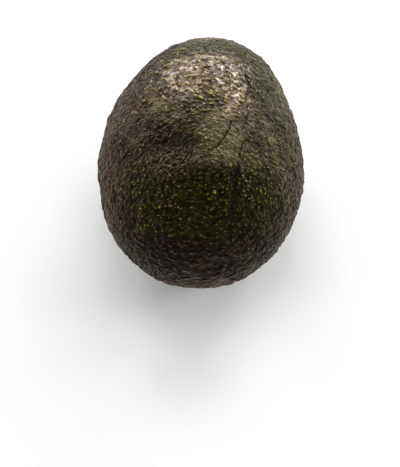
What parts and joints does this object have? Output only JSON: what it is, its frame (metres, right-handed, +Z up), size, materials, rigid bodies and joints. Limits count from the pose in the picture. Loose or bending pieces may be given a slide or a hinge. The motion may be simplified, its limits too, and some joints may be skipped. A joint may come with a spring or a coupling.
{
  "type": "avocado",
  "caption": "Whole Hass avocado lying on its side: pear-shaped fruit with dark pebbled skin, a small flat resting spot and the woody stem button in its pit.",
  "frame": {"origin": "on the surface the fruit rests on, under the middle of its whole box", "axes": "+Z up; +Y along the fruit, from the broad blossom end to the narrow stem end; +X across, to the right when looking along +Y"},
  "size_m": [0.0694, 0.0948, 0.069],
  "materials": {
    "skin": "pebbled waxy skin, dark green mottled with purple-brown, satin gloss",
    "stem_wood": "dry rough cut stem, matt brown"
  },
  "bodies": {
    "root": {"fruit": "skin", "stem_button": "stem_wood"}
  },
  "joints": []
}
